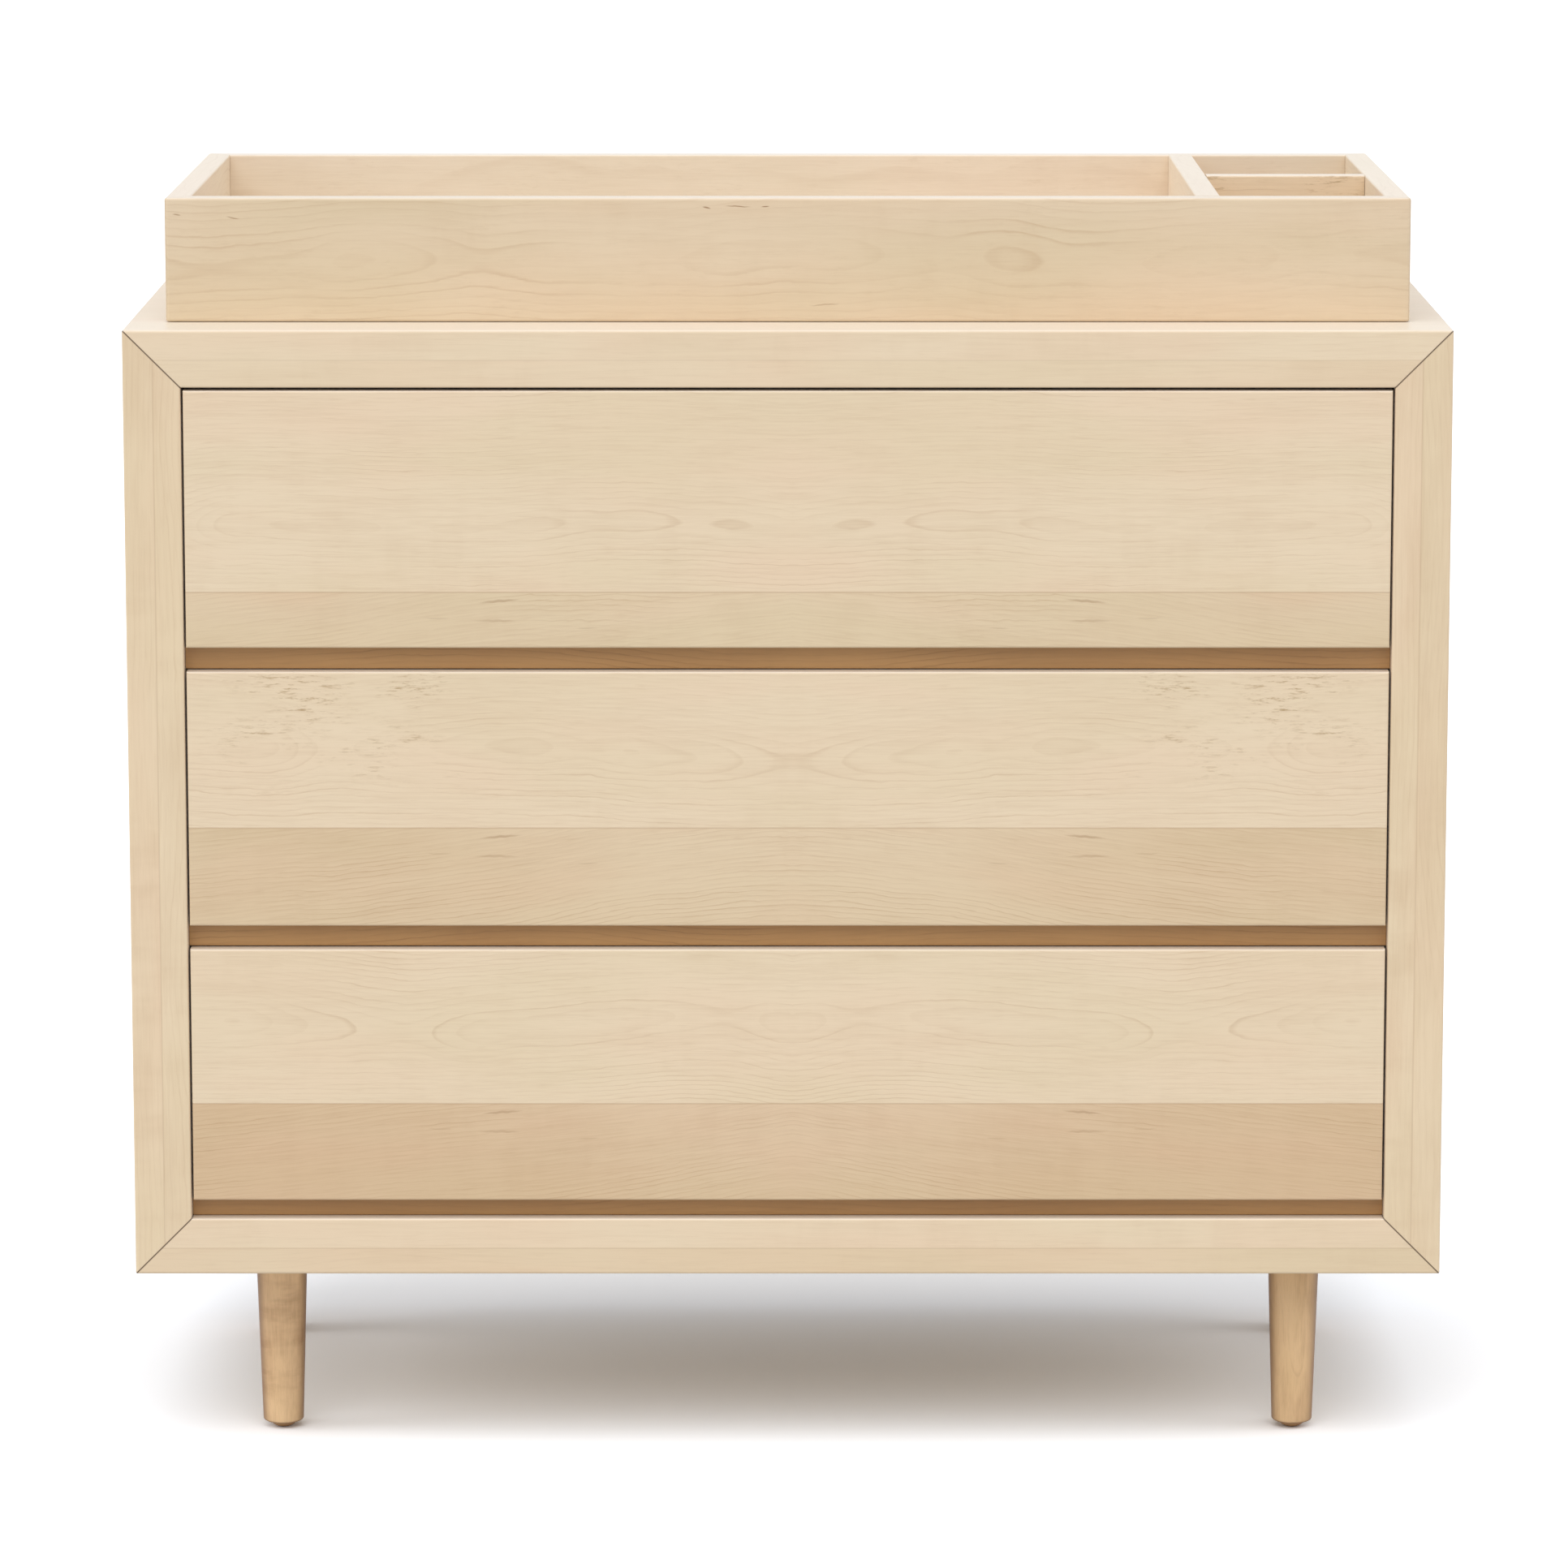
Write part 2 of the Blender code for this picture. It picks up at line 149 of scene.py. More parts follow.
# wood
# Board space: X runs along the grain, Y across the face, Z into the board.
figureInputs = {
    "Board": None, "Seed": 0.0, "Ring Gap": 0.0042, "Pith Depth": 0.030, "Drift": 0.0045,
    "Lines": 0.20, "Blotch": 0.5, "Cloud": 0.6, "Curl": 0.5, "Fibres": 0.6, "Flecks": 0.0,
    "Pale": colour(231, 211, 181), "Deep": colour(172, 132, 88), "Blush": colour(231, 206, 176),
    "Straw": colour(226, 207, 174), "Fleck Colour": colour(172, 142, 100),
}


def makeMapleFigure():
    figure = {"Color": "NodeSocketColor", "Roughness": "NodeSocketFloat", "Height": "NodeSocketFloat"}
    tree, take, give = newGroup("maple figure", figureInputs, figure)
    seedShift = calc(tree, "MULTIPLY", take["Seed"], 7.31)
    offset = joined(tree, seedShift, calc(tree, "MULTIPLY", take["Seed"], 3.17), seedShift)
    place = put(tree, "ShaderNodeVectorMath", {0: take["Board"], 1: offset}, operation="ADD").outputs[0]
    parts = put(tree, "ShaderNodeSeparateXYZ", {"Vector": take["Board"]}).outputs

    # growth rings round a pith that lies below the face and wanders along the board
    sway = calc(tree, "SUBTRACT", noise(tree, stretched(tree, place, 4.0, 3.0), detail=0), 0.5)
    ripple = noise(tree, stretched(tree, place, 38, 110), detail=2, roughness=0.6)
    ripple = calc(tree, "SUBTRACT", ripple, 0.5)
    across = calc(tree, "MULTIPLY_ADD", sway, 0.040, parts["Y"])
    across = calc(tree, "MULTIPLY_ADD", ripple, 0.0044, across)
    rise = calc(tree, "SUBTRACT", noise(tree, stretched(tree, place, 8.0, 2.0), detail=0.8), 0.5)
    depth = calc(tree, "ADD", take["Pith Depth"], parts["Z"])
    depth = calc(tree, "MULTIPLY_ADD", rise, calc(tree, "MULTIPLY", take["Drift"], 4.0), depth)
    square = calc(tree, "ADD", calc(tree, "MULTIPLY", across, across), calc(tree, "MULTIPLY", depth, depth))
    ring = calc(tree, "DIVIDE", calc(tree, "SQRT", square), take["Ring Gap"])
    own = calc(tree, "ADD", calc(tree, "FLOOR", ring), take["Seed"])
    own = put(tree, "ShaderNodeTexWhiteNoise", {"W": own}, noise_dimensions="1D").outputs["Value"]
    phase = calc(tree, "FRACT", ring)
    patch = spread(tree, noise(tree, stretched(tree, place, 6, 14), detail=1.5), 0.38, 0.66, 0.05, 1.0)
    line = calc(tree, "MULTIPLY", spread(tree, phase, 0.70, 0.93), spread(tree, phase, 0.93, 1.0, 1.0, 0.0))
    line = calc(tree, "MULTIPLY", calc(tree, "MULTIPLY", line, patch), spread(tree, own, 0, 1, 0.15, 1.0))
    band = calc(tree, "MULTIPLY", calc(tree, "MULTIPLY", phase, phase), 0.22)
    marks = calc(tree, "MULTIPLY", calc(tree, "ADD", line, band), take["Lines"])

    # fine fibres, short pore dashes and dark flecks that gather in patches
    fibre = noise(tree, stretched(tree, place, 22, 560), detail=2, roughness=0.7)
    strand = noise(tree, stretched(tree, place, 7, 150), detail=1)
    dash = spread(tree, noise(tree, stretched(tree, place, 60, 800), detail=0), 0.62, 0.80)
    dash = calc(tree, "MULTIPLY", dash, 0.07)
    grain = calc(tree, "MULTIPLY_ADD", calc(tree, "SUBTRACT", fibre, 0.5), 0.36, dash)
    grain = calc(tree, "MULTIPLY_ADD", calc(tree, "SUBTRACT", strand, 0.5), 0.14, grain)
    grain = calc(tree, "MULTIPLY", grain, take["Fibres"])
    speck = spread(tree, noise(tree, stretched(tree, place, 60, 330), detail=3, roughness=0.75), 0.50, 0.72)
    zone = spread(tree, noise(tree, stretched(tree, place, 14, 26), detail=2, roughness=0.6), 0.40, 0.64)
    fleck = calc(tree, "MULTIPLY", calc(tree, "MULTIPLY", speck, zone), take["Flecks"], clamp=True)

    # broad soft clouds: rosier, greener and a little darker
    rosy = spread(tree, noise(tree, stretched(tree, place, 4.5, 15), detail=2), 0.38, 0.66)
    green = spread(tree, noise(tree, stretched(tree, place, 3.1, 10, 7), detail=2), 0.42, 0.70)
    shade = spread(tree, noise(tree, stretched(tree, place, 8, 24), detail=3, roughness=0.6), 0.34, 0.74)
    base = blend(tree, calc(tree, "MULTIPLY", rosy, take["Blotch"]), take["Pale"], take["Blush"])
    base = blend(tree, calc(tree, "MULTIPLY", green, take["Blotch"]), base, take["Straw"])
    curl = spread(tree, noise(tree, stretched(tree, place, 34, 11), detail=3, roughness=0.6), 0.42, 0.74)
    curled = spread(tree, noise(tree, stretched(tree, place, 5, 7), detail=1), 0.40, 0.62)
    curl = calc(tree, "MULTIPLY", curl, curled)
    tone = calc(tree, "MULTIPLY", calc(tree, "MULTIPLY", shade, take["Cloud"]), 0.09)
    tone = calc(tree, "MULTIPLY_ADD", calc(tree, "MULTIPLY", curl, take["Curl"]), 0.10, tone)
    tone = calc(tree, "ADD", calc(tree, "ADD", marks, grain), tone, clamp=True)
    wood = blend(tree, tone, base, take["Deep"])
    feed(tree, give["Color"], blend(tree, fleck, wood, take["Fleck Colour"]))
    feed(tree, give["Roughness"], calc(tree, "MULTIPLY_ADD", tone, 0.20, 0.44))
    feed(tree, give["Height"], calc(tree, "SUBTRACT", 0.5, calc(tree, "ADD", grain, marks)))
    return tree


mapleFigure = makeMapleFigure()

# how each kind of board lies: the rows give board X, Y and Z in the object's axes
lies = {
    "front": ((1, 0, 0), (0, 0, 1), (0, -1, 0)),
    "flat": ((1, 0, 0), (0, 1, 0), (0, 0, 1)),
    "side": ((0, 0, 1), (0, 1, 0), (-1, 0, 0)),
    "deep": ((0, 1, 0), (0, 0, 1), (1, 0, 0)),
    "upright": ((0, 0, 1), (1, 0, 0), (0, 1, 0)),
}

boardDefaults = {
    "lie": "front", "origin": (0, 0, 0), "mirrored": False, "seam": None, "stave": 0.0,
    "centres": (0.0, 0.0), "seeds": (1.0, 2.0), "tint": (1.0, 1.0, 1.0), "lively": 0.0, "fade": 0.0,
    "fleckAt": None, "streaks": (), "slant": 0.0, "mitred": False, "paintedTopLight": 0.45, "zoom": 1.0, "rim": 0.0,
    "glue": 0.0, "coat": 0.15, "sheen": 0.20, "bump": 0.00012, "figure": {},
}


def mitreLines(tree, here):
    # dark glue lines along the mitres at the four corners of the case
    parts = put(tree, "ShaderNodeSeparateXYZ", {"Vector": here}).outputs
    inward = calc(tree, "SUBTRACT", caseHalf, calc(tree, "ABSOLUTE", parts["X"]))
    upper = calc(tree, "SUBTRACT", inward, calc(tree, "SUBTRACT", caseTop, parts["Z"]))
    lower = calc(tree, "SUBTRACT", inward, calc(tree, "SUBTRACT", parts["Z"], caseFloor))
    near = calc(tree, "MINIMUM", calc(tree, "ABSOLUTE", upper), calc(tree, "ABSOLUTE", lower))
    return spread(tree, near, 0.0004, 0.0013, 0.75, 0.0)


def streakMask(tree, along, across, streaks):
    # small dark mineral streaks: along, across, length, thickness, slope, strength
    waver = noise(tree, joined(tree, calc(tree, "MULTIPLY", along, 60.0), across, 0.0), detail=2)
    waver = calc(tree, "MULTIPLY", calc(tree, "SUBTRACT", waver, 0.5), 0.0030)
    total = 0.0
    for x, y, length, thickness, slope, strength in streaks:
        u = calc(tree, "SUBTRACT", along, x)
        v = calc(tree, "SUBTRACT", calc(tree, "MULTIPLY_ADD", u, -slope, calc(tree, "ADD", across, waver)), y)
        u = calc(tree, "POWER", calc(tree, "ABSOLUTE", calc(tree, "DIVIDE", u, length)), 2.0)
        v = calc(tree, "POWER", calc(tree, "ABSOLUTE", calc(tree, "DIVIDE", v, thickness)), 2.0)
        total = calc(tree, "MAXIMUM", total, spread(tree, calc(tree, "ADD", u, v), 0.0, 1.0, strength, 0.0))
    return total


def makeBoard(name, **changes):
    board = {**boardDefaults, **changes}
    material, tree, shader = newMaterial(name)
    turn = Matrix(lies[board["lie"]])
    here = put(tree, "ShaderNodeTexCoord").outputs["Object"]
    zoom = board["zoom"]
    start = -(turn @ Vector(board["origin"])) * zoom
    feeds = {"Vector": here, "Location": start, "Rotation": turn.to_euler(), "Scale": (zoom, zoom, zoom)}
    laid = put(tree, "ShaderNodeMapping", feeds).outputs[0]
    parts = put(tree, "ShaderNodeSeparateXYZ", {"Vector": laid}).outputs
    along, across, seed = parts["X"], parts["Y"], board["seeds"][0]
    if board["mirrored"]:
        along = calc(tree, "ABSOLUTE", along)
    below = None
    if board["seam"]:
        below = calc(tree, "LESS_THAN", parts[board["seam"]], 0.0)
        seed = calc(tree, "MULTIPLY_ADD", below, board["seeds"][1] - board["seeds"][0], board["seeds"][0])
    if board["stave"]:
        stave = calc(tree, "DIVIDE", across, board["stave"])
        own = put(tree, "ShaderNodeTexWhiteNoise", {"W": calc(tree, "FLOOR", stave)}, noise_dimensions="1D")
        own = own.outputs["Value"]
        seed = calc(tree, "MULTIPLY_ADD", own, 23.0, seed)
        shift = calc(tree, "MULTIPLY", calc(tree, "SUBTRACT", own, 0.5), board["stave"] * 1.6)
        across = calc(tree, "SUBTRACT", calc(tree, "FRACT", stave), 0.5)
        across = calc(tree, "ADD", calc(tree, "MULTIPLY", across, board["stave"]), shift)
    if board["seam"] == "Y":
        upper, lower = board["centres"]
        centre = calc(tree, "MULTIPLY_ADD", below, lower - upper, upper)
        across = calc(tree, "SUBTRACT", across, centre)
    if board["slant"]:
        lean = calc(tree, "MULTIPLY", calc(tree, "MULTIPLY", along, below), board["slant"])
        across = calc(tree, "ADD", across, lean)
    wood = put(tree, "ShaderNodeGroup", node_tree=mapleFigure)
    values = {"Board": joined(tree, along, across, parts["Z"]), "Seed": seed, **board["figure"]}
    if board["lively"]:
        for key in ("Lines", "Blotch"):
            usual = board["figure"].get(key, figureInputs[key])
            values[key] = calc(tree, "MULTIPLY_ADD", below, usual * board["lively"], usual)
    if board["fleckAt"]:
        x, reach = board["fleckAt"]
        off = calc(tree, "ABSOLUTE", calc(tree, "SUBTRACT", along, x))
        gather = spread(tree, off, reach * 0.4, reach, board["figure"]["Flecks"], 0.0)
        values["Flecks"] = calc(tree, "MULTIPLY", gather, spread(tree, parts["Y"], 0.018, 0.050))
    for key, value in values.items():
        feed(tree, wood.inputs[key], value)
    tone = wood.outputs["Color"]
    if board["seam"]:
        amount = below
        if board["fade"]:
            amount = calc(tree, "MULTIPLY", below, spread(tree, along, 0.06, 0.36, 1 - board["fade"], 1.0))
            # Painted shade: the lower board's tint also deepens towards its bottom edge
            amount = calc(tree, "MULTIPLY_ADD", parts["Y"], -4.0, amount)
            amount = calc(tree, "MULTIPLY", amount, below)
        tone = blend(tree, amount, tone, board["tint"] + (1.0,), how="MULTIPLY")
        near = calc(tree, "ABSOLUTE", parts[board["seam"]])
        tone = blend(tree, spread(tree, near, 0.0002, 0.0009, board["glue"], 0.0), tone, colour(168, 132, 96))
    if board["streaks"]:
        marks = streakMask(tree, along, parts["Y"], board["streaks"])
        tone = blend(tree, marks, tone, colour(150, 112, 74))
    if board["mitred"]:
        tone = blend(tree, mitreLines(tree, here), tone, colour(96, 66, 40))
    # Painted highlight: faces that point up are lightened towards pale grey by each board's set amount,
    # standing in for the top light
    normal = put(tree, "ShaderNodeNewGeometry").outputs["Normal"]
    facing = put(tree, "ShaderNodeSeparateXYZ", {"Vector": normal})
    topLightMask = spread(tree, facing.outputs["Z"], 0.2, 0.95, 0.0, board["paintedTopLight"])
    tone = blend(tree, topLightMask, tone, colour(224, 219, 212))
    # Painted shade: where the surface turns away from the view, as at a leg's sides, the colour darkens
    # towards deep brown by the rim amount
    if board["rim"]:
        rimShadeFacing = put(tree, "ShaderNodeLayerWeight", {"Blend": 0.5}).outputs["Facing"]
        tone = blend(tree, spread(tree, rimShadeFacing, 0.15, 0.80, 0.0, board["rim"]), tone, colour(132, 82, 40))
    feed(tree, shader.inputs["Base Color"], tone)
    feed(tree, shader.inputs["Roughness"], wood.outputs["Roughness"])
    feeds = {"Height": wood.outputs["Height"], "Strength": 0.5, "Distance": board["bump"]}
    feed(tree, shader.inputs["Normal"], put(tree, "ShaderNodeBump", feeds).outputs[0])
    shader.inputs["Coat Weight"].default_value = board["coat"]
    shader.inputs["Coat Roughness"].default_value = 0.30
    shader.inputs["Sheen Weight"].default_value = board["sheen"]
    shader.inputs["Sheen Roughness"].default_value = 0.35
    return material


def cover(material, *names):
    for name in names:
        nodes[name].data.materials.clear()
        nodes[name].data.materials.append(material)


# The mitred case: each panel shows two layers at its front edge, and staves on its face
caseWood = {
    "layer": 0.024, "bottomLayer": 0.0215, "stave": 0.094,
    "rail": {"Lines": 0.07, "Ring Gap": 0.0040, "Pith Depth": 0.052, "Drift": 0.0030, "Blotch": 0.7},
    "stile": {"Lines": 0.11, "Cloud": 1.6, "Curl": 1.2, "Pale": colour(231, 210, 178),
              "Blush": colour(230, 203, 171), "Straw": colour(226, 205, 170)},
    # shadow: a darker, browner maple for the recessed divider rails, painted shade of the finger gaps
    "shadow": {"Lines": 0.3, "Ring Gap": 0.005, "Pale": colour(189, 144, 90), "Blush": colour(178, 131, 79),
               "Straw": colour(172, 128, 77), "Deep": colour(116, 76, 38)},
    "back": {"Ring Gap": 0.009, "Pith Depth": 0.11, "Drift": 0.012, "Lines": 0.22},
}


def finishCase():
    layer, rail = caseWood["layer"], caseWood["rail"]
    common = {"seam": "Z", "stave": caseWood["stave"], "mitred": True}
    top = makeBoard("top panel maple", lie="flat", origin=(0, frontY, caseTop - layer), seeds=(3.0, 8.0),
                    tint=(0.985, 0.975, 0.965), glue=0.12, figure=rail, **common)
    cover(top, "top_panel")
    seamHeight = caseFloor + caseWood["bottomLayer"]
    bottom = makeBoard("bottom panel maple", lie="flat", origin=(0, frontY, seamHeight), seeds=(5.0, 12.0),
                       tint=(0.95, 0.93, 0.90), glue=0.2, figure=rail, **common)
    cover(bottom, "bottom_panel")
    stile = {**rail, **caseWood["stile"]}
    for side, way in (("left", -1), ("right", 1)):
        panel = makeBoard(side + " side maple", lie="side", origin=(way * (caseHalf - layer), frontY, 0),
                          seeds=(7.0 + way, 16.0 + way), glue=0.22, figure=stile, **common)
        cover(panel, side + "_side_panel")
    cover(makeBoard("divider rail maple", origin=(0, frontY, 0), seeds=(21.0, 0), figure=caseWood["shadow"]),
          "lower_divider_rail", "upper_divider_rail", "base_rail")
    cover(makeBoard("back board birch", lie="upright", origin=(0.10, 0, 0), seeds=(31.0, 0), coat=0.0,
                    figure=caseWood["back"]), "back_panel")


finishCase()
print("case finished")

# Drawers: two boards glued edge to edge make each front
drawers = {
    "top": {"seam": 0.045, "rise": 0.052, "fall": -0.11, "seeds": (41.0, 43.0), "tint": (0.92, 0.89, 0.84),
            "flecks": 0.0, "blush": 0.75},
    "middle": {"seam": 0.080, "rise": 0.060, "fall": -0.14, "seeds": (47.0, 53.0), "tint": (0.89, 0.85, 0.78),
               "flecks": 0.85, "blush": 0.5},
    "bottom": {"seam": 0.080, "rise": 0.064, "fall": -0.13, "seeds": (59.0, 61.0), "tint": (0.85, 0.76, 0.67),
               "flecks": 0.0, "blush": 0.6},
}
frontFigure = {"Drift": 0.0105, "Pith Depth": 0.022, "Ring Gap": 0.0037, "Lines": 0.23, "Fibres": 0.9}
drawerBox = {"Ring Gap": 0.006, "Pith Depth": 0.08, "Lines": 0.25, "Fibres": 0.8,
             "Pale": colour(236, 219, 192), "Blush": colour(238, 216, 190)}
mineral = ((0.235, -0.007, 0.019, 0.0014, -0.09, 0.42), (0.238, -0.023, 0.020, 0.0014, 0.0, 0.28),
           (0.285, -0.021, 0.012, 0.0009, 0.04, 0.18), (0.165, -0.029, 0.010, 0.0008, -0.05, 0.20))


def finishDrawers():
    for name, plan in drawers.items():
        front = name + "_drawer_front"
        origin = (0.004, frontY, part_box(front)[0].z + plan["seam"])
        figure = {**frontFigure, "Flecks": plan["flecks"], "Blotch": plan["blush"]}
        cover(makeBoard(name + " drawer front maple", origin=origin, mirrored=True, seam="Y", glue=0.35,
                        centres=(plan["rise"], plan["fall"]), seeds=plan["seeds"], tint=plan["tint"],
                        lively=0.2, fade=0.5, slant=0.11, fleckAt=(0.362, 0.13), streaks=mineral,
                        figure=figure), front)
        seed = plan["seeds"][0] + 5
        side = makeBoard(name + " drawer side birch", lie="deep", seeds=(seed, 0), coat=0.04,
                         figure=drawerBox)
        cover(side, name + "_drawer_left_side", name + "_drawer_right_side")
        cover(makeBoard(name + " drawer back birch", seeds=(seed + 1, 0), coat=0.04, figure=drawerBox),
              name + "_drawer_back")
        cover(makeBoard(name + " drawer bottom board", lie="flat", seeds=(seed + 2, 0), coat=0.0,
                        figure={**drawerBox, "Ring Gap": 0.011, "Drift": 0.02}), name + "_drawer_bottom")


finishDrawers()
print("drawers finished")

# The changing tray
trayMarks = ((-0.14, 0.043, 0.012, 0.0006, -0.04, 0.8), (-0.165, 0.042, 0.004, 0.0009, -0.2, 0.8),
             (-0.118, 0.043, 0.004, 0.0006, 0.0, 0.9), (-0.545, 0.034, 0.006, 0.0006, -0.2, 0.7),
             (-0.07, -0.036, 0.014, 0.0008, 0.06, 0.4), (-0.59, 0.036, 0.004, 0.0008, -0.1, 0.6))
trayWood = {
    "wall": {"Ring Gap": 0.0052, "Pith Depth": 0.030, "Drift": 0.0060, "Lines": 0.20, "Blotch": 0.8},
    "front": {"Pale": colour(224, 203, 173), "Blush": colour(224, 200, 169), "Straw": colour(217, 197, 164),
              "Flecks": 0.10},
    "back": {"Pith Depth": 0.060, "Drift": 0.0015, "Lines": 0.18, "Flecks": 0.12,
             "Pale": colour(233, 217, 196), "Blush": colour(230, 211, 188), "Straw": colour(226, 210, 186)},
    "base": {"Ring Gap": 0.010, "Pith Depth": 0.07, "Drift": 0.018, "Lines": 0.25},
    "sideSeeds": {"left": 79.0, "right": 83.0},
}


def finishTray():
    low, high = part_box("tray_front_wall")
    middle, wall = (low.z + high.z) / 2, trayWood["wall"]
    cover(makeBoard("tray front maple", origin=(0.1, low.y, middle), seeds=(71.0, 0), streaks=trayMarks,
                    figure={**wall, **trayWood["front"]}), "tray_front_wall")
    cover(makeBoard("tray back maple", origin=(0, high.y, middle), seeds=(73.0, 0),
                    figure={**wall, **trayWood["back"]}), "tray_back_wall")
    for side, seed in trayWood["sideSeeds"].items():
        name = "tray_" + side + "_wall"
        cover(makeBoard("tray " + side + " maple", lie="deep", origin=(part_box(name)[0].x, 0, middle),
                        seeds=(seed, 0), figure=wall), name)
    cover(makeBoard("tray divider maple", lie="deep", origin=(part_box("tray_divider")[0].x, 0, middle),
                    seeds=(89.0, 0), figure=wall), "tray_divider")
    cover(makeBoard("caddy divider maple", origin=(0.4, 0, middle), seeds=(97.0, 0),
                    figure={**wall, "Flecks": 0.9}), "caddy_cross_divider")
    cover(makeBoard("tray base board", lie="flat", origin=(0, 0, 0.9), seeds=(101.0, 0), coat=0.0,
                    figure=trayWood["base"]), "tray_pad_base", "tray_caddy_base")


finishTray()
print("tray finished")

# Metal and plastic
steel = {"Base": colour(190, 192, 194), "Dark": colour(150, 153, 157)}


def makeSteel():
    material, tree, shader = newMaterial("zinc steel")
    here = put(tree, "ShaderNodeTexCoord").outputs["Object"]
    drawn = noise(tree, stretched(tree, here, 900, 14, 900), detail=2)
    spangle = put(tree, "ShaderNodeTexVoronoi", {"Vector": here, "Scale": 130.0}).outputs["Color"]
    mottle = noise(tree, here, scale=55, detail=3)
    tone = calc(tree, "MULTIPLY_ADD", drawn, 0.5, calc(tree, "MULTIPLY", mottle, 0.5))
    zinc = blend(tree, tone, steel["Dark"], steel["Base"])
    feed(tree, shader.inputs["Base Color"], blend(tree, 0.12, zinc, spangle, how="SOFT_LIGHT"))
    feed(tree, shader.inputs["Roughness"], spread(tree, mottle, 0.3, 0.7, 0.30, 0.46))
    shader.inputs["Metallic"].default_value = 1.0
    height = put(tree, "ShaderNodeBump", {"Height": tone, "Strength": 0.3, "Distance": 0.00006})
    feed(tree, shader.inputs["Normal"], height.outputs[0])
    return material


def makeGlidePlastic():
    material, tree, shader = newMaterial("glide plastic")
    here = put(tree, "ShaderNodeTexCoord").outputs["Object"]
    pebble = noise(tree, here, scale=1800, detail=2)
    scuff = noise(tree, here, scale=160, detail=3)
    tone = spread(tree, scuff, 0.35, 0.7)
    feed(tree, shader.inputs["Base Color"], blend(tree, tone, colour(190, 144, 98), colour(208, 164, 116)))
    feed(tree, shader.inputs["Roughness"], spread(tree, scuff, 0.3, 0.7, 0.42, 0.62))
    height = put(tree, "ShaderNodeBump", {"Height": pebble, "Strength": 0.35, "Distance": 0.00008})
    feed(tree, shader.inputs["Normal"], height.outputs[0])
    return material


zincSteel = makeSteel()
glidePlastic = makeGlidePlastic()
cover(zincSteel, *[name for name in nodes if name.endswith(("_channel", "_bracket"))])
print("steel and plastic made")


# New pieces
def newPiece(name, mesh, body, slot, *materials, smooth=40):
    data = bpy.data.meshes.new(name)
    bmesh.ops.remove_doubles(mesh, verts=mesh.verts, dist=0.00001)
    bmesh.ops.recalc_face_normals(mesh, faces=mesh.faces)
    mesh.to_mesh(data)
    mesh.free()
    for material in materials:
        data.materials.append(material)
    data.shade_smooth()
    data.set_sharp_from_angle(angle=math.radians(smooth))
    piece = bpy.data.objects.new(name, data)
    scene.collection.objects.link(piece)
    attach(piece, body)
    return piece


def turned(profile, centre, steps):
    # profile: (radius, height) from the lowest point on the axis to the highest
    shape = bmesh.new()
    points = [shape.verts.new((centre[0] + radius, centre[1], height)) for radius, height in profile]
    edges = [shape.edges.new(pair) for pair in zip(points, points[1:])]
    bmesh.ops.spin(shape, geom=points + edges, cent=(centre[0], centre[1], 0), axis=(0, 0, 1),
                   angle=math.tau, steps=steps, use_merge=True, use_normal_flip=False)
    return shape


def arc(radius, height, size, start, end, steps):
    angles = [math.radians(start + (end - start) * i / steps) for i in range(steps + 1)]
    return [(radius + size * math.cos(a), height + size * math.sin(a)) for a in angles]


# rim sets the painted shade on the legs' sides, where they turn away from the view
leg = {"footRadius": 0.0167, "footRound": 0.0026, "topRound": 0.0006, "rings": 18, "steps": 96,
       "ends": 0.004, "figureZoom": 2.2, "pithAside": 0.004, "rim": 0.75,
       "figure": {"Ring Gap": 0.0080, "Pith Depth": 0.075, "Drift": 0.006, "Lines": 0.10, "Fibres": 1.1,
                  "Blotch": 1.0, "Cloud": 2.6, "Curl": 3.4, "Pale": colour(244, 206, 158),
                  "Blush": colour(232, 194, 147), "Straw": colour(228, 190, 140),
                  "Deep": colour(146, 96, 54)}}
glide = {"rimHeight": 0.0012, "steps": 72, "flat": 0.003, "lip": 0.0003, "lipFall": 0.0002}


def makeLegs():
    for number, (end, side) in enumerate((e, s) for e in ("front", "back") for s in ("left", "right")):
        name = end + "_" + side + "_leg"
        low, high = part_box(name)
        centre = (low + high) / 2
        topRadius = (high.x - low.x) / 2
        curve = leg["footRound"]
        foot = arc(leg["footRadius"] - curve, low.z + curve, curve, -90, -2, 8)
        top = arc(topRadius - leg["topRound"], high.z - leg["topRound"], leg["topRound"], 0, 90, 3)
        shaft = []
        for i in range(1, leg["rings"]):
            part = i / leg["rings"]
            reach = leg["footRadius"] + (topRadius - leg["footRadius"]) * part
            shaft.append((reach, low.z + curve + (high.z - low.z - leg["ends"]) * part))
        shape = turned([(0, low.z)] + foot + shaft + top + [(0, high.z)], centre, leg["steps"])
        wood = makeBoard(name.replace("_", " ") + " maple", lie="upright", zoom=leg["figureZoom"],
                         origin=(centre.x + leg["pithAside"], centre.y, 0), seeds=(111.0 + 3 * number, 0),
                         coat=0.25, rim=leg["rim"], figure=leg["figure"])
        piece = newPiece("turned_" + name, shape, "case", "leg_maple", wood)
        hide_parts(name)


